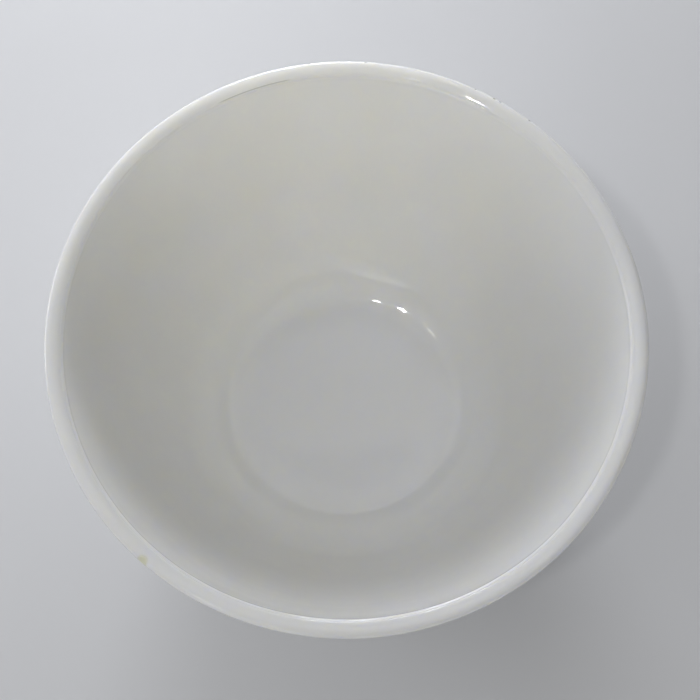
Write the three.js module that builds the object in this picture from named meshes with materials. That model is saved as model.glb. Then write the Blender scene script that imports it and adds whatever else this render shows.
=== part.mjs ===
// Shaving bowl: one press-moulded bowl of white opal glass.
// Millimetres, +Z up. The origin is the centre of the circle that the foot ring stands on.

import * as THREE from 'three';

// Driving dimensions.
const RIM_RADIUS = 57;              // outermost radius, at the side of the lip
const HEIGHT = 63;                  // table to the crest of the lip
const INNER_DEPTH = 56;             // crest of the lip down to the crease at the floor's edge

// Lip: a tight round outside the crest, a gently crowned top inside it, then a small shoulder.
const LIP_ROUND = 0.8;
const CROWN_WIDTH = 2.1;
const CROWN_RADIUS = 4;
const SHOULDER_WIDTH = 0.6;
const SHOULDER_DROP = 0.9;

// Floor: flat in the middle, and dished up a little to the crease where the wall begins.
const FLOOR_RADIUS = 24.5;
const FLOOR_FLAT_RADIUS = 17.5;
const FLOOR_DISH_RISE = 0.45;

// Wall: a rounded corner above the crease, then a long flatter sweep up to the lip.
// Slopes are measured from level.
const CORNER_RADIUS = 17;
const CORNER_START_SLOPE = THREE.MathUtils.degToRad(12.5);
const CORNER_END_SLOPE = THREE.MathUtils.degToRad(60);
const CORNER_THICKNESS = 4.6;

// Foot: a low ring with a flat bearing band round a shallow recess.
const FOOT_RADIUS = 29;
const FOOT_ROUND = 0.8;
const BAND_INNER_RADIUS = 25.2;
const BASE_RECESS = 1.8;
const RECESS_SLOPE_WIDTH = 1.4;

// Facets.
const SEGMENTS_AROUND = 96;
const CORNER_STEPS = 6;
const WALL_STEPS = 7;
const LIP_STEPS = 3;
const CROWN_STEPS = 2;
const SHOULDER_STEPS = 2;
const FOOT_STEPS = 2;
const DISH_STEPS = 2;

// Points of the section are (radius, height). Each run leaves out its first point,
// because the run before it ends there.

// Round corner about a centre below which it starts, from one slope to another.
function cornerPoint(centre, radius, slope) {
  return new THREE.Vector2(
    centre.x + radius * Math.sin(slope),
    centre.y - radius * Math.cos(slope),
  );
}

function cornerRun(centre, radius, fromSlope, toSlope) {
  return Array.from({ length: CORNER_STEPS }, (_, i) => {
    const slope = fromSlope + (toSlope - fromSlope) * (i + 1) / CORNER_STEPS;
    return cornerPoint(centre, radius, slope);
  });
}

// Long sweep that leaves its start at a given slope and bends steadily upwards to its end.
function sweepRun(start, end, startSlope) {
  const chord = end.clone().sub(start);
  const turn = 2 * (chord.angle() - startSlope);
  const radius = chord.length() / (2 * Math.sin(turn / 2));
  return Array.from({ length: WALL_STEPS }, (_, i) => {
    const bend = turn * (i + 1) / WALL_STEPS;
    const reach = 2 * radius * Math.sin(bend / 2);
    const direction = startSlope + bend / 2;
    return new THREE.Vector2(
      start.x + reach * Math.cos(direction),
      start.y + reach * Math.sin(direction),
    );
  });
}

// Part of an ellipse about a centre, from one angle to another.
function ellipseRun(centre, halfWidth, halfHeight, fromAngle, toAngle, steps) {
  return Array.from({ length: steps }, (_, i) => {
    const angle = fromAngle + (toAngle - fromAngle) * (i + 1) / steps;
    return new THREE.Vector2(
      centre.x + halfWidth * Math.cos(angle),
      centre.y + halfHeight * Math.sin(angle),
    );
  });
}

// The section, from the axis under the base, round the outside, over the lip and down the inside.
function bowlSection() {
  const quarter = Math.PI / 2;
  const crest = new THREE.Vector2(RIM_RADIUS - LIP_ROUND, HEIGHT);
  const lipSide = new THREE.Vector2(RIM_RADIUS, HEIGHT - LIP_ROUND);
  const crownCentre = new THREE.Vector2(crest.x, HEIGHT - CROWN_RADIUS);
  const crownAngle = Math.asin(CROWN_WIDTH / CROWN_RADIUS);
  const crownEdge = cornerPoint(crownCentre, -CROWN_RADIUS, crownAngle);
  const wallTop = new THREE.Vector2(crownEdge.x - SHOULDER_WIDTH, crownEdge.y - SHOULDER_DROP);

  const crease = new THREE.Vector2(FLOOR_RADIUS, HEIGHT - INNER_DEPTH);
  const floorLevel = crease.y - FLOOR_DISH_RISE;
  const cornerCentre = new THREE.Vector2(
    crease.x - CORNER_RADIUS * Math.sin(CORNER_START_SLOPE),
    crease.y + CORNER_RADIUS * Math.cos(CORNER_START_SLOPE),
  );
  const outerRadius = CORNER_RADIUS + CORNER_THICKNESS;
  const footSlope = Math.asin((FOOT_RADIUS - cornerCentre.x) / outerRadius);
  const outerTurn = cornerPoint(cornerCentre, outerRadius, CORNER_END_SLOPE);
  const innerTurn = cornerPoint(cornerCentre, CORNER_RADIUS, CORNER_END_SLOPE);

  const base = [
    new THREE.Vector2(0, BASE_RECESS),
    new THREE.Vector2(BAND_INNER_RADIUS - RECESS_SLOPE_WIDTH, BASE_RECESS),
    new THREE.Vector2(BAND_INNER_RADIUS, 0),
    new THREE.Vector2(FOOT_RADIUS - FOOT_ROUND, 0),
  ];
  const footRoundCentre = new THREE.Vector2(FOOT_RADIUS - FOOT_ROUND, FOOT_ROUND);
  const footSide = [
    ...ellipseRun(footRoundCentre, FOOT_ROUND, FOOT_ROUND, -quarter, 0, FOOT_STEPS),
    cornerPoint(cornerCentre, outerRadius, footSlope),
  ];
  const outside = [
    ...cornerRun(cornerCentre, outerRadius, footSlope, CORNER_END_SLOPE),
    ...sweepRun(outerTurn, lipSide, CORNER_END_SLOPE),
  ];
  const lip = [
    ...ellipseRun(new THREE.Vector2(crest.x, lipSide.y), LIP_ROUND, LIP_ROUND, 0, quarter, LIP_STEPS),
    ...ellipseRun(
      crownCentre, CROWN_RADIUS, CROWN_RADIUS, quarter, quarter + crownAngle, CROWN_STEPS,
    ),
    ...ellipseRun(
      new THREE.Vector2(crownEdge.x, wallTop.y),
      SHOULDER_WIDTH, SHOULDER_DROP, quarter, 2 * quarter, SHOULDER_STEPS,
    ),
  ];
  const inside = [
    crease,
    ...cornerRun(cornerCentre, CORNER_RADIUS, CORNER_START_SLOPE, CORNER_END_SLOPE),
    ...sweepRun(innerTurn, wallTop, CORNER_END_SLOPE).slice(0, -1),
  ].reverse();
  const dish = Array.from({ length: DISH_STEPS }, (_, i) => {
    const outwards = 1 - (i + 1) / DISH_STEPS;
    return new THREE.Vector2(
      FLOOR_FLAT_RADIUS + (FLOOR_RADIUS - FLOOR_FLAT_RADIUS) * outwards,
      floorLevel + FLOOR_DISH_RISE * outwards ** 2,
    );
  });
  const floorCentre = new THREE.Vector2(0, floorLevel);
  return [...base, ...footSide, ...outside, ...lip, ...inside, ...dish, floorCentre];
}

// White opal glass: fire-polished, so glossy, and not metallic.
const opalGlass = new THREE.MeshStandardMaterial({ color: '#d9dad6', roughness: 0.12, metalness: 0 });

// The lathe turns its section about Y, so the geometry is stood up to make Z the axis.
const bowlGeometry = new THREE.LatheGeometry(bowlSection(), SEGMENTS_AROUND);
bowlGeometry.rotateX(Math.PI / 2);

const bowl = new THREE.Mesh(bowlGeometry, opalGlass);
bowl.name = 'bowl';

const shavingBowl = new THREE.Group();
shavingBowl.add(bowl);

export default shavingBowl;
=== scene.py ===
# Looks of the shaving bowl: one pressed bowl of white opal glass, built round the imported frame.
import math

import bpy
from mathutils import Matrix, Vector, noise


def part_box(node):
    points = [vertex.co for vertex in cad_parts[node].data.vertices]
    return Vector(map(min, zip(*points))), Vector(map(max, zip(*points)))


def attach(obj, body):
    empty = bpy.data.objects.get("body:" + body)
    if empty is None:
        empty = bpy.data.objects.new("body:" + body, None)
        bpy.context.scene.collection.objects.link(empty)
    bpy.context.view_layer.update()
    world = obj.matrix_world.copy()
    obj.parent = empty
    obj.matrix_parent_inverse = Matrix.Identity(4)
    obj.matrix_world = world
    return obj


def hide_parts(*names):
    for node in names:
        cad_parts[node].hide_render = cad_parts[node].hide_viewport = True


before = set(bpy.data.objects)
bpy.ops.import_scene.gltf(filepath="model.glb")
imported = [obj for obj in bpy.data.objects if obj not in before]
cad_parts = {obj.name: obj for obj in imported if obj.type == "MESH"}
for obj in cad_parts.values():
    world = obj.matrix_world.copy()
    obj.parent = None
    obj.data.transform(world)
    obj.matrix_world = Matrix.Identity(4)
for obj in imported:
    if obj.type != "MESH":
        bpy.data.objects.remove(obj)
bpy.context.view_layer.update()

bowl_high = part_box("bowl")[1]

MM = 0.001
DEG = math.radians(1)

# ---------------------------------------------------------------------------------------------
# Driving sizes, in millimetres, as in the CAD part. The outermost sizes come from the frame.
RIM_RADIUS = bowl_high.x / MM
HEIGHT = bowl_high.z / MM
INNER_DEPTH = 56
LIP_ROUND = 0.8
CROWN_WIDTH = 2.1
CROWN_RADIUS = 4
SHOULDER_WIDTH = 0.6
SHOULDER_DROP = 0.9
FLOOR_RADIUS = 24.5
FLOOR_FLAT_RADIUS = 17.5
FLOOR_DISH_RISE = 0.45
CORNER_RADIUS = 17
CORNER_START_SLOPE = 12.5 * DEG
CORNER_END_SLOPE = 60 * DEG
CORNER_THICKNESS = 4.6
FOOT_RADIUS = 29
FOOT_ROUND = 0.8
BAND_INNER_RADIUS = 25.2
BASE_RECESS = 1.8
RECESS_SLOPE_WIDTH = 1.4

# Small features of the pressing, in millimetres.
SEGMENTS_AROUND = 288
PLUNGER_OFFSET = -0.45              # how far the floor lies off the axis, along X
MOULD_LINE_DEPTH = 0.03             # fine line inside the lip, where plunger and ring mould met
MOULD_LINE_HALF_WIDTH = 0.13
SEAM_HEIGHT = 0.06                  # upright joint of the mould's two halves, outside
SEAM_HALF_WIDTH = 0.45
SEAM_AZIMUTHS = (155 * DEG, 335 * DEG)
VALVE_RADIUS = 15.5                 # circle left under the base by the mould's valve
VALVE_STEP = 0.1
VALVE_STEP_HALF_WIDTH = 0.35
RECESS_LUMP_SIZE = 7                # chill ripples in the recess
RECESS_LUMP = 0.04
WAVE_SIZE = 19                      # slow unevenness of the fire-polished faces
INSIDE_WAVE = 0.09
OUTSIDE_WAVE = 0.07
RIPPLE_PITCH = 3.2                  # level chill ripples in the inside of the wall
RIPPLE_HEIGHT = 0.012
LIP_WAVE_SIZE = 11
LIP_WAVE = 0.05

# Wear on the lip's outer edge: one small chip, and pits that hold dirt.
CHIP_AZIMUTH = 229.8 * DEG
CHIP_HALF_LENGTH = 1.0
CHIP_HALF_WIDTH = 0.6
CHIP_DEPTH = 0.22
PIT_AZIMUTHS = (50.4 * DEG, 57.4 * DEG, 58.8 * DEG, 63.1 * DEG, 86.2 * DEG, 97.7 * DEG)
PIT_RADIUS = 0.3
PIT_DEPTH = 0.08
HAIRLINE_START = 103 * DEG          # stretch of the mould line that is coloured darker
HAIRLINE_END = 117.7 * DEG

# Which noise each part of the surface takes.
RECESS_SEED = 31.7
OUTSIDE_SEED = 5.3
LIP_SEED = 17.1
MOULD_LINE_SEED = 8.9
INSIDE_SEED = 2.9

# Finer steps round the bowl at its marks: reach each way and step, in millimetres at the rim.
SEAM_ZONE = (0.9, 0.15)
CHIP_ZONE = (1.3, 0.1)
PIT_ZONE = (0.4, 0.1)

# Reach of the small rounds where two runs of the section meet, in millimetres.
RECESS_ROUND = 0.7
BAND_ROUND = 0.35
FOOT_TOP_ROUND = 0.7
CREASE_ROUND = 0.5

# How finely each run of the section is divided.
RECESS_STEPS = 30
FOOT_STEPS = 6
OUTER_CORNER_STEPS = 12
OUTER_WALL_STEPS = 30
LIP_ROUND_STEPS = 10
CROWN_STEPS = 9
MOULD_LINE_STEPS = 7
SHOULDER_STEPS = 14
CORNER_STEPS = 20
WALL_STEPS = 62
DISH_STEPS = 10
FLOOR_STEPS = 14
PLAIN_CROWN_SHARE = 0.85            # share of the crown before the mould line's finer steps


# ---------------------------------------------------------------------------------------------
# The section: runs of (radius, height) points, joined by small rounds.
def arc_point(centre, radius, slope):
    """A point under an arc's centre, where the arc has this slope from level."""
    return Vector((centre.x + radius * math.sin(slope), centre.y - radius * math.cos(slope)))


def straight(start, end, steps):
    """Points along a straight line."""
    return [start.lerp(end, i / steps) for i in range(steps + 1)]


def slope_arc(centre, radius, start, end, steps):
    """Points along an arc, from one slope to another."""
    return [arc_point(centre, radius, start + (end - start) * i / steps) for i in range(steps + 1)]


def sweep(start, end, start_slope, steps):
    """A long arc that leaves its start at a given slope and bends steadily to its end."""
    chord = end - start
    turn = 2 * (math.atan2(chord.y, chord.x) - start_slope)
    radius = chord.length / (2 * math.sin(turn / 2))
    points = []
    for i in range(steps + 1):
        bend = turn * i / steps
        reach = 2 * radius * math.sin(bend / 2)
        heading = start_slope + bend / 2
        points.append(start + reach * Vector((math.cos(heading), math.sin(heading))))
    return points


def ellipse(centre, half_width, half_height, start, end, steps):
    """Points along part of an ellipse, from one angle to another."""
    points = []
    for i in range(steps + 1):
        angle = start + (end - start) * i / steps
        points.append(centre + Vector((half_width * math.cos(angle), half_height * math.sin(angle))))
    return points


def cut_back(run, reach):
    """The run without the last stretch of its length."""
    run = list(run)
    while len(run) > 2:
        step = (run[-1] - run[-2]).length
        if step > reach:
            break
        reach -= step
        run.pop()
    step = (run[-1] - run[-2]).length
    run[-1] = run[-1].lerp(run[-2], min(0.9, reach / step))
    return run


def rounded_join(before, after, reach, steps=5):
    """Two runs that meet at a corner, joined by a small round that starts this far from it."""
    corner = before[-1]
    before = cut_back(before, reach)
    after = cut_back(after[::-1], reach)[::-1]
    bend = []
    for i in range(1, steps):
        t = i / steps
        bend.append(before[-1] * (1 - t) ** 2 + corner * 2 * t * (1 - t) + after[0] * t ** 2)
    return before + bend + after


QUARTER = math.pi / 2
LIP_CREST = Vector((RIM_RADIUS - LIP_ROUND, HEIGHT))
LIP_SIDE = Vector((RIM_RADIUS, HEIGHT - LIP_ROUND))
CROWN_CENTRE = Vector((LIP_CREST.x, HEIGHT - CROWN_RADIUS))
CROWN_ANGLE = math.asin(CROWN_WIDTH / CROWN_RADIUS)
CROWN_EDGE = CROWN_CENTRE + CROWN_RADIUS * Vector((-math.sin(CROWN_ANGLE), math.cos(CROWN_ANGLE)))
WALL_TOP = CROWN_EDGE - Vector((SHOULDER_WIDTH, SHOULDER_DROP))
CREASE = Vector((FLOOR_RADIUS, HEIGHT - INNER_DEPTH))
FLOOR_LEVEL = CREASE.y - FLOOR_DISH_RISE
CORNER_CENTRE = CREASE + CORNER_RADIUS * Vector(
    (-math.sin(CORNER_START_SLOPE), math.cos(CORNER_START_SLOPE)))
OUTER_CORNER_RADIUS = CORNER_RADIUS + CORNER_THICKNESS
FOOT_SLOPE = math.asin((FOOT_RADIUS - CORNER_CENTRE.x) / OUTER_CORNER_RADIUS)


def base_section():
    """From the axis under the base, over the bearing band, to the outside of the foot."""
    recess_edge = Vector((BAND_INNER_RADIUS - RECESS_SLOPE_WIDTH, BASE_RECESS))
    recess = straight(Vector((0, BASE_RECESS)), recess_edge, RECESS_STEPS)
    recess_slope = straight(recess[-1], Vector((BAND_INNER_RADIUS, 0)), FOOT_STEPS)
    band = straight(recess_slope[-1], Vector((FOOT_RADIUS - FOOT_ROUND, 0)), FOOT_STEPS)
    foot_round = ellipse(Vector((FOOT_RADIUS - FOOT_ROUND, FOOT_ROUND)),
                         FOOT_ROUND, FOOT_ROUND, -QUARTER, 0, FOOT_STEPS)
    section = rounded_join(recess, recess_slope, RECESS_ROUND)
    section = rounded_join(section, band, BAND_ROUND)
    return section + foot_round[1:]


def outside_section(foot_top):
    """From the top of the foot, round the outer corner, up to the lip's outer side."""
    corner = slope_arc(CORNER_CENTRE, OUTER_CORNER_RADIUS, FOOT_SLOPE, CORNER_END_SLOPE,
                       OUTER_CORNER_STEPS)
    foot_side = straight(foot_top, corner[0], FOOT_STEPS)
    section = rounded_join(foot_side, corner, FOOT_TOP_ROUND)
    return section + sweep(corner[-1], LIP_SIDE, CORNER_END_SLOPE, OUTER_WALL_STEPS)[1:]


def lip_section():
    """From the lip's outer side, over the crown and the mould line, to the top of the wall."""
    outer_round = ellipse(Vector((LIP_CREST.x, LIP_SIDE.y)), LIP_ROUND, LIP_ROUND,
                          0, QUARTER, LIP_ROUND_STEPS)
    plain_crown = CROWN_ANGLE * PLAIN_CROWN_SHARE
    crown = ellipse(CROWN_CENTRE, CROWN_RADIUS, CROWN_RADIUS,
                    QUARTER, QUARTER + plain_crown, CROWN_STEPS)
    crown += ellipse(CROWN_CENTRE, CROWN_RADIUS, CROWN_RADIUS,
                     QUARTER + plain_crown, QUARTER + CROWN_ANGLE, MOULD_LINE_STEPS)[1:]
    shoulder = ellipse(Vector((CROWN_EDGE.x, WALL_TOP.y)), SHOULDER_WIDTH, SHOULDER_DROP,
                       QUARTER, 2 * QUARTER, SHOULDER_STEPS)
    return outer_round + crown[1:] + shoulder[1:]


def inside_section():
    """From the top of the wall down to the crease, and across the floor to the axis."""
    corner = slope_arc(CORNER_CENTRE, CORNER_RADIUS, CORNER_START_SLOPE, CORNER_END_SLOPE,
                       CORNER_STEPS)
    wall = sweep(corner[-1], WALL_TOP, CORNER_END_SLOPE, WALL_STEPS)[::-1]
    dish = []
    for i in range(DISH_STEPS + 1):
        outwards = 1 - i / DISH_STEPS
        dish.append(Vector((FLOOR_FLAT_RADIUS + (FLOOR_RADIUS - FLOOR_FLAT_RADIUS) * outwards,
                            FLOOR_LEVEL + FLOOR_DISH_RISE * outwards ** 2)))
    section = rounded_join(wall + corner[::-1][1:], dish, CREASE_ROUND)
    return section + straight(dish[-1], Vector((0, FLOOR_LEVEL)), FLOOR_STEPS)[1:]


# ---------------------------------------------------------------------------------------------
# Small departures from the true shape. Each is a height in millimetres, outwards from the glass.
def smooth_step(low, high, value):
    """0 up to the low value, 1 from the high one, and smooth between them."""
    share = min(1, max(0, (value - low) / (high - low)))
    return share * share * (3 - 2 * share)


def bump_shape(distance):
    """A smooth bump of height 1 whose edge is at distance 1."""
    return max(0, 1 - distance * distance) ** 2


def angle_between(first, second):
    """The signed turn from the second angle to the first, by the shorter way."""
    return (first - second + math.pi) % (2 * math.pi) - math.pi


def lumps(place, size, seed):
    """Smooth noise with lumps of this size. The seed picks which noise."""
    return noise.noise(place / size + Vector((seed, -seed, 2 * seed)))


def base_relief(place, radius, angle):
    """Chill ripples and the valve's circle in the recess. The bearing band stays flat."""
    inner = 1 - smooth_step(BAND_INNER_RADIUS - 5, BAND_INNER_RADIUS - 3, radius)
    ripple = RECESS_LUMP * lumps(place, RECESS_LUMP_SIZE, RECESS_SEED)
    step = VALVE_STEP * smooth_step(VALVE_RADIUS - VALVE_STEP_HALF_WIDTH,
                                    VALVE_RADIUS + VALVE_STEP_HALF_WIDTH, radius)
    return inner * (ripple - step)


def outside_relief(place, radius, angle):
    """Slow unevenness, and the mould's two upright seams. Both fade out at the foot and the lip."""
    edge = smooth_step(3.2, 7, place.z) * (1 - smooth_step(HEIGHT - 6, HEIGHT - 1, place.z))
    seam_edge = smooth_step(4, 6, place.z) * (1 - smooth_step(HEIGHT - 5, HEIGHT - 3, place.z))
    seam = 0
    for azimuth in SEAM_AZIMUTHS:
        across = radius * angle_between(angle, azimuth)
        seam += bump_shape(across / SEAM_HALF_WIDTH)
    return edge * OUTSIDE_WAVE * lumps(place, WAVE_SIZE, OUTSIDE_SEED) + seam_edge * seam * SEAM_HEIGHT


def lip_relief(place, radius, angle):
    """The lip's unevenness, the mould line, the chip and the pits."""
    inwards = smooth_step(0, LIP_ROUND, LIP_CREST.x - radius)
    height = inwards * LIP_WAVE * lumps(place, LIP_WAVE_SIZE, LIP_SEED)
    from_line = math.hypot(radius - CROWN_EDGE.x, place.z - CROWN_EDGE.y)
    line_depth = MOULD_LINE_DEPTH * (0.75 + 0.6 * lumps(place, 9, MOULD_LINE_SEED))
    height -= line_depth * bump_shape(from_line / MOULD_LINE_HALF_WIDTH)
    over = math.hypot(radius - LIP_SIDE.x + LIP_ROUND / 3, place.z - HEIGHT + LIP_ROUND / 3)
    along = RIM_RADIUS * angle_between(angle, CHIP_AZIMUTH)
    chip = 1 - (along / CHIP_HALF_LENGTH) ** 2 - (over / CHIP_HALF_WIDTH) ** 2
    height -= CHIP_DEPTH * max(0, chip)
    for azimuth in PIT_AZIMUTHS:
        along = RIM_RADIUS * angle_between(angle, azimuth)
        height -= PIT_DEPTH * bump_shape(math.hypot(along, over) / PIT_RADIUS)
    return height


def inside_relief(place, radius, angle):
    """Slow unevenness below the lip, and fine level ripples."""
    below_lip = smooth_step(0.5, 7, WALL_TOP.y - place.z)
    ripple_place = Vector((4 * math.cos(angle), 4 * math.sin(angle), place.z / RIPPLE_PITCH))
    wave = INSIDE_WAVE * lumps(place, WAVE_SIZE, INSIDE_SEED)
    return below_lip * wave + RIPPLE_HEIGHT * noise.noise(ripple_place)


# ---------------------------------------------------------------------------------------------
# The bowl's mesh: the section turned round the axis, with its relief.
def ring_angles():
    """Even steps round the bowl, with finer ones at the seams, the chip and the pits."""
    marks = [(azimuth, SEAM_ZONE) for azimuth in SEAM_AZIMUTHS]
    marks.append((CHIP_AZIMUTH, CHIP_ZONE))
    marks += [(azimuth, PIT_ZONE) for azimuth in PIT_AZIMUTHS]
    zones = [(azimuth, zone[0] / RIM_RADIUS, zone[1] / RIM_RADIUS) for azimuth, zone in marks]
    angles = []
    for i in range(SEGMENTS_AROUND):
        angle = 2 * math.pi * i / SEGMENTS_AROUND
        if all(abs(angle_between(angle, centre)) > reach for centre, reach, step in zones):
            angles.append(angle)
    for centre, reach, step in zones:
        count = round(2 * reach / step)
        angles += [centre - reach + 2 * reach * i / count for i in range(count + 1)]
    return sorted(angles)


def turned_mesh(name, runs, angles):
    """The closed mesh of a section given as runs, each a list of points with its own relief."""
    section = []
    for points, relief in runs:
        section += [(point, relief) for point in points]
    rings = []
    for i in range(1, len(section) - 1):
        point, relief = section[i]
        along = section[i + 1][0] - section[i - 1][0]
        rings.append((point, Vector((along.y, -along.x)).normalized(), relief))
    vertices = [(0, 0, section[0][0].y * MM)]
    for point, normal, relief in rings:
        for angle in angles:
            place = Vector((point.x * math.cos(angle), point.x * math.sin(angle), point.y))
            height = relief(place, point.x, angle)
            radius = point.x + normal.x * height
            off_axis = 0
            if relief is inside_relief:
                off_axis = PLUNGER_OFFSET * smooth_step(0, INNER_DEPTH, HEIGHT - point.y)
            vertices.append(((radius * math.cos(angle) + off_axis) * MM,
                             radius * math.sin(angle) * MM, (point.y + normal.y * height) * MM))
    vertices.append((PLUNGER_OFFSET * MM, 0, section[-1][0].y * MM))
    last = len(vertices) - 1
    count = len(angles)
    faces = []
    for i in range(count):
        j = (i + 1) % count
        faces.append((0, 1 + j, 1 + i))
        for ring in range(len(rings) - 1):
            low = 1 + ring * count
            high = low + count
            faces.append((low + i, low + j, high + j, high + i))
        top = 1 + (len(rings) - 1) * count
        faces.append((top + i, top + j, last))
    mesh = bpy.data.meshes.new(name)
    mesh.from_pydata(vertices, [], faces)
    mesh.shade_smooth()
    mesh.update()
    return mesh


def make_bowl():
    """The bowl's one piece, from the axis under the base round to the axis on the floor."""
    base = base_section()
    runs = [(base, base_relief),
            (outside_section(base[-1])[1:], outside_relief),
            (lip_section()[1:], lip_relief),
            (inside_section()[1:], inside_relief)]
    bowl = bpy.data.objects.new("opal_bowl", turned_mesh("opal_bowl", runs, ring_angles()))
    bpy.context.scene.collection.objects.link(bowl)
    return bowl


# ---------------------------------------------------------------------------------------------
# Materials
class Shading:
    """A material's node tree, with short calls for the nodes that the materials use."""

    def __init__(self, name):
        self.material = bpy.data.materials.new(name)
        self.material.use_nodes = True
        self.nodes = self.material.node_tree.nodes
        self.links = self.material.node_tree.links
        self.shader = self.nodes["Principled BSDF"]
        self.place = self.nodes.new("ShaderNodeTexCoord").outputs["Object"]

    def node(self, kind, inputs, output=0, **settings):
        """A new node with these inputs, each a value or another node's output."""
        node = self.nodes.new(kind)
        for name, value in settings.items():
            setattr(node, name, value)
        for key, value in inputs.items():
            if isinstance(value, bpy.types.NodeSocket):
                self.links.new(value, node.inputs[key])
            else:
                node.inputs[key].default_value = value
        return node.outputs[output]

    def math(self, operation, first, second=0.0):
        """The result of one sum."""
        return self.node("ShaderNodeMath", {0: first, 1: second}, operation=operation)

    def noise(self, size, detail=2.0, stretch=(1, 1, 1)):
        """Noise from 0 to 1 with lumps of about this many millimetres."""
        place = self.node("ShaderNodeMapping", {"Vector": self.place, "Scale": stretch})
        return self.node("ShaderNodeTexNoise",
                         {"Vector": place, "Scale": 1 / (size * MM), "Detail": detail}, "Fac")

    def ramp(self, value, start, end, low=0.0, high=1.0):
        """Low where the value is at the start or before, high from the end on, smooth between."""
        return self.node("ShaderNodeMapRange",
                         {"Value": value, "From Min": start, "From Max": end,
                          "To Min": low, "To Max": high}, interpolation_type="SMOOTHSTEP")

    def near(self, point, reach, softness):
        """1 within this reach of a point, in millimetres, and 0 beyond it."""
        away = self.node("ShaderNodeVectorMath", {0: self.place, 1: point * MM}, "Value",
                         operation="DISTANCE")
        return self.ramp(away, (reach - softness) * MM, (reach + softness) * MM, 1.0, 0.0)

    def mix(self, share, first, second):
        """The first colour, with this share of the second."""
        return self.node("ShaderNodeMix", {0: share, 6: first, 7: second}, 2, data_type="RGBA")


# Colours of the glass, of a darker stretch of the mould line, and of the dirt and stain in the lip's
# small marks.
WARM_GLASS = (0.862, 0.862, 0.842, 1)
COOL_GLASS = (0.878, 0.88, 0.874, 1)
STREAK_GLASS = (0.85, 0.852, 0.85, 1)
DARK_LINE_TONE = (0.2, 0.19, 0.17, 1)
PIT_DIRT = (0.16, 0.15, 0.13, 1)
CHIP_STAIN = (0.66, 0.65, 0.42, 1)
DARK_LINE_SHARE = 0.35
PIT_DIRT_SHARE = 0.8
CHIP_STAIN_SHARE = 0.7

# Roughness of the glass.
SMUDGE_ROUGHNESS = (0.035, 0.07)
SCUFF_ROUGHNESS = 0.09
CREST_ROUGHNESS = 0.07
FOOT_ROUGHNESS = 0.4
CHIP_ROUGHNESS = 0.25

# Relief of the glass's skin that is too fine for the mesh, in millimetres.
SKIN_HEIGHT = 0.011
FINE_SKIN_HEIGHT = 0.0012
GRINDING_HEIGHT = 0.05

GLASS_IOR = 1.52
SCATTER_RADIUS = (1.0, 0.95, 0.76)  # blue light goes less deep, so what comes through is warm
SCATTER_SCALE = 0.006


def on_lip(azimuth):
    """The point on the lip's outer round at this azimuth."""
    reach = LIP_CREST.x + LIP_ROUND * math.cos(QUARTER / 2)
    height = LIP_SIDE.y + LIP_ROUND * math.sin(QUARTER / 2)
    return Vector((reach * math.cos(azimuth), reach * math.sin(azimuth), height))


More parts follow.
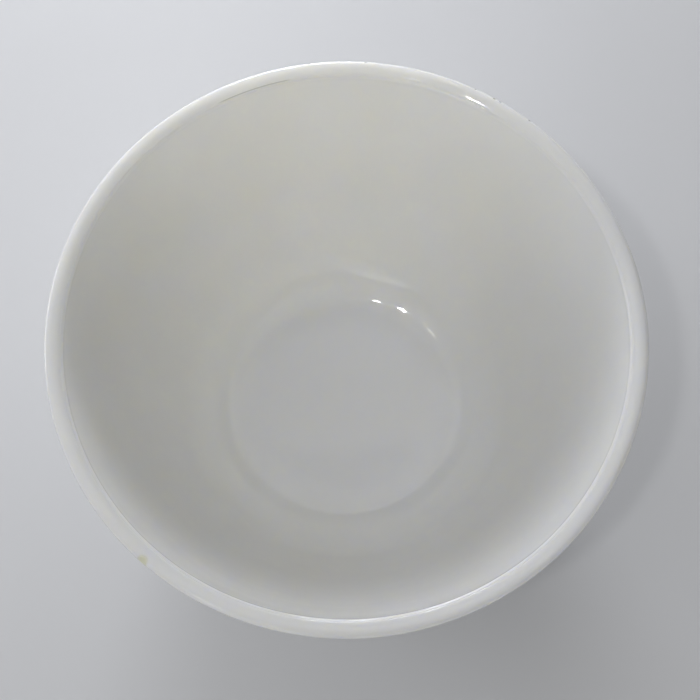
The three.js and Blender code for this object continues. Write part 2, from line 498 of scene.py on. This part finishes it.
def opal_glass():
    """Milky glass: light goes deep into it, and its fire-polished surface is not quite even."""
    look = Shading("opal_glass_look")
    x = look.node("ShaderNodeSeparateXYZ", {"Vector": look.place}, "X")
    y = x.node.outputs["Y"]
    z = x.node.outputs["Z"]
    radius = look.math("SQRT", look.math("ADD", look.math("MULTIPLY", x, x),
                                         look.math("MULTIPLY", y, y)))
    azimuth = look.math("ARCTAN2", y, x)

    # Colour: faint clouds and streaks in the glass, then a darker stretch of the mould line, dirt in
    # the lip's pits and a stain at its chip.
    clouds = look.ramp(look.noise(24, 3.0), 0.3, 0.7)
    streaks = look.ramp(look.noise(9, 4.0, (1, 1, 0.25)), 0.35, 0.75, 0.0, 0.5)
    colour = look.mix(clouds, WARM_GLASS, COOL_GLASS)
    colour = look.mix(streaks, colour, STREAK_GLASS)
    line_gap = look.math("ABSOLUTE", look.math("SUBTRACT", radius, CROWN_EDGE.x * MM))
    on_line = look.ramp(line_gap, 0.04 * MM, 0.14 * MM, 1.0, 0.0)
    above_wall = look.ramp(z, WALL_TOP.y * MM, (WALL_TOP.y + 0.3) * MM)
    on_line = look.math("MULTIPLY", on_line, above_wall)
    past_start = look.ramp(azimuth, HAIRLINE_START - 2 * DEG, HAIRLINE_START + DEG)
    before_end = look.ramp(azimuth, HAIRLINE_END - 2 * DEG, HAIRLINE_END + 2 * DEG, 1.0, 0.0)
    darker_stretch = look.math("MULTIPLY", past_start, before_end)
    darker_stretch = look.ramp(darker_stretch, 0.0, 1.0, 0.0, DARK_LINE_SHARE)
    colour = look.mix(look.math("MULTIPLY", on_line, darker_stretch), colour, DARK_LINE_TONE)
    for i, azimuth_of_pit in enumerate(PIT_AZIMUTHS):
        pit = look.near(on_lip(azimuth_of_pit), PIT_RADIUS * (0.75 + 0.1 * (i % 3)), 0.12)
        colour = look.mix(look.math("MULTIPLY", pit, PIT_DIRT_SHARE), colour, PIT_DIRT)
    stain = look.near(on_lip(CHIP_AZIMUTH), CHIP_HALF_LENGTH, 0.4)
    colour = look.mix(look.math("MULTIPLY", stain, CHIP_STAIN_SHARE), colour, CHIP_STAIN)

    # Roughness: smudges, a worn crest, scuffs on the floor from the brush, and a ground foot.
    smudges = look.ramp(look.noise(13, 4.0), 0.42, 0.7, *SMUDGE_ROUGHNESS)
    scuffs = look.ramp(look.noise(2.2, 6.0, (1, 0.3, 1)), 0.52, 0.72, 0.0, SCUFF_ROUGHNESS)
    on_floor = look.math("MULTIPLY",
                         look.ramp(radius, 20 * MM, 26 * MM, 1.0, 0.0),
                         look.ramp(z, 5 * MM, 6 * MM))
    on_crest = look.ramp(z, (HEIGHT - 0.25) * MM, HEIGHT * MM, 0.0, CREST_ROUGHNESS)
    on_foot = look.ramp(z, 0.02 * MM, 0.2 * MM, FOOT_ROUGHNESS, 0.0)
    roughness = look.math("ADD", smudges, look.math("MULTIPLY", scuffs, on_floor))
    roughness = look.math("ADD", roughness, on_crest)
    roughness = look.math("ADD", roughness, on_foot)
    roughness = look.math("ADD", roughness, look.math("MULTIPLY", stain, CHIP_ROUGHNESS))

    # Relief too fine for the mesh: the skin of pressed glass, and grinding marks on the foot.
    skin = look.math("MULTIPLY", look.noise(4.5, 2.0), SKIN_HEIGHT * MM)
    fine_skin = look.math("MULTIPLY", look.noise(0.9, 3.0), FINE_SKIN_HEIGHT * MM)
    grinding = look.math("MULTIPLY", look.noise(0.25, 4.0), on_foot)
    grinding = look.math("MULTIPLY", grinding, GRINDING_HEIGHT * MM)
    height = look.math("ADD", look.math("ADD", skin, fine_skin), grinding)
    normal = look.node("ShaderNodeBump", {"Height": height, "Distance": 1.0, "Strength": 1.0},
                       "Normal")

    shader = look.shader
    look.links.new(colour, shader.inputs["Base Color"])
    look.links.new(roughness, shader.inputs["Roughness"])
    look.links.new(normal, shader.inputs["Normal"])
    shader.inputs["IOR"].default_value = GLASS_IOR
    shader.inputs["Subsurface Weight"].default_value = 1.0
    shader.inputs["Subsurface Radius"].default_value = SCATTER_RADIUS
    shader.inputs["Subsurface Scale"].default_value = SCATTER_SCALE
    return look.material


FLOOR_COLOUR = (0.78, 0.785, 0.8, 1)
SKY_COLOUR = (0.97, 0.985, 1, 1)
HORIZON_STRENGTH = 0.35
HORIZON_GLOW = 0.31                 # what the far floor needs to reach the horizon's brightness


def plain_floor():
    """The pale, matt ground that the bowl stands on."""
    look = Shading("plain_floor")
    shader = look.shader
    shader.inputs["Base Color"].default_value = FLOOR_COLOUR
    shader.inputs["Roughness"].default_value = 0.9
    shader.inputs["Specular IOR Level"].default_value = 0.2
    # Far from the lamps the floor keeps the brightness of the surroundings, so it has no dark rim.
    away = look.node("ShaderNodeVectorMath", {0: look.place}, "Value", operation="LENGTH")
    glow = look.ramp(away, 0.4, 2.2, 0.0, HORIZON_GLOW)
    look.links.new(glow, shader.inputs["Emission Strength"])
    shader.inputs["Emission Color"].default_value = SKY_COLOUR
    return look.material


# ---------------------------------------------------------------------------------------------
# The stage
TILT = 17.11 * DEG                  # of the camera's axis from the vertical
DISTANCE = 258.4                    # from the rim's centre along the axis, in millimetres
FOCAL_SHARE = 1368 / 700            # focal length as a share of the sensor's width
SENSOR = 36
AIM_OFFSET = (0.66, -3.45)          # right and up, from the rim's centre, in millimetres


def make_camera():
    """The camera looks down at the rim from the near side, a little off the vertical."""
    right = Vector((1, 0, 0))
    up = Vector((0, math.cos(TILT), math.sin(TILT)))
    back = Vector((0, -math.sin(TILT), math.cos(TILT)))
    rim_centre = Vector((0, 0, LIP_SIDE.y))
    place = rim_centre + right * AIM_OFFSET[0] + up * AIM_OFFSET[1] + back * DISTANCE
    data = bpy.data.cameras.new("camera")
    data.sensor_width = SENSOR
    data.lens = SENSOR * FOCAL_SHARE
    data.clip_start = 0.01
    camera = bpy.data.objects.new("camera", data)
    camera.location = place * MM
    camera.rotation_euler = (TILT, 0, 0)
    bpy.context.scene.collection.objects.link(camera)
    bpy.context.scene.camera = camera


def make_floor():
    """A level square, wide enough that low views don't show its edges. Metres."""
    half = 6
    mesh = bpy.data.meshes.new("floor")
    mesh.from_pydata([(-half, -half, 0), (half, -half, 0), (half, half, 0), (-half, half, 0)],
                     [], [(0, 1, 2, 3)])
    floor = bpy.data.objects.new("floor", mesh)
    mesh.materials.append(plain_floor())
    bpy.context.scene.collection.objects.link(floor)


def make_lamp(name, azimuth, elevation, distance, size, share, colour, height=None):
    """A soft light that faces the bowl's mouth from this direction.

    It is a disk, or a rectangle where it has a height. Its share is how bright it alone would
    show a white surface that faces it at the mouth.
    """
    data = bpy.data.lights.new(name, "AREA")
    data.shape = "DISK" if height is None else "RECTANGLE"
    data.size = size
    data.size_y = height or size
    reach = distance ** 2 + (size / 2) ** 2 if height is None else distance ** 2
    data.energy = share * math.pi ** 2 * reach
    data.color = colour
    lamp = bpy.data.objects.new(name, data)
    aim = Vector((0, 0, HEIGHT * MM))
    direction = Vector((math.cos(elevation * DEG) * math.cos(azimuth * DEG),
                        math.cos(elevation * DEG) * math.sin(azimuth * DEG),
                        math.sin(elevation * DEG)))
    lamp.location = aim + direction * distance
    lamp.rotation_euler = direction.to_track_quat("Z", "Y").to_euler()
    lamp.visible_camera = False
    bpy.context.scene.collection.objects.link(lamp)


def make_world():
    """Pale surroundings near the horizon, and dark ones overhead, where the lights are."""
    world = bpy.data.worlds.new("world")
    world.use_nodes = True
    nodes = world.node_tree.nodes
    links = world.node_tree.links
    split = nodes.new("ShaderNodeSeparateXYZ")
    links.new(nodes.new("ShaderNodeTexCoord").outputs["Generated"], split.inputs["Vector"])
    fade = nodes.new("ShaderNodeMapRange")
    fade.interpolation_type = "SMOOTHSTEP"
    links.new(split.outputs["Z"], fade.inputs["Value"])
    fade.inputs["From Min"].default_value = math.sin(8 * DEG)
    fade.inputs["From Max"].default_value = math.sin(34 * DEG)
    fade.inputs["To Min"].default_value = HORIZON_STRENGTH
    fade.inputs["To Max"].default_value = 0.02
    links.new(fade.outputs["Result"], nodes["Background"].inputs["Strength"])
    nodes["Background"].inputs["Color"].default_value = SKY_COLOUR
    bpy.context.scene.world = world


COOL_WHITE = (0.97, 0.99, 1.04)
WHITE = (1, 1, 1)


def make_lights():
    """Low key lights behind and left of the bowl, broad soft ones, and three small lamps.

    The small lamps make the glints. Every lamp stays clear of the floor. Each line is name,
    azimuth, elevation, distance, size, share and colour.
    """
    make_lamp("key_far", 97, 7, 0.36, 0.16, 0.57, COOL_WHITE)
    make_lamp("key_left", 163, 7, 0.36, 0.16, 0.19, COOL_WHITE)
    make_lamp("soft_left", 170, 55, 0.5, 0.5, 0.05, WHITE)
    make_lamp("near_fill", 250, 24, 1.5, 0.9, 0.125, WHITE)
    make_lamp("overhead", 0, 90, 1.2, 1.8, 0.14, WHITE)
    make_lamp("overhead_panel", 90, 67, 1.2, 1.4, 0.055, WHITE, height=0.4)
    make_lamp("lamp_a", 194.0, 62.5, 1.5, 0.08, 0.003, WHITE)
    make_lamp("lamp_b", 220.5, 67.1, 1.5, 0.09, 0.08, WHITE)
    make_lamp("lamp_c", 242.4, 72.0, 1.5, 0.04, 0.025, WHITE)


make_camera()
bowl = make_bowl()
bowl.data.materials.append(opal_glass())
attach(bowl, "root")
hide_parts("bowl")
make_floor()
make_world()
make_lights()
bpy.context.scene.view_settings.view_transform = "Standard"
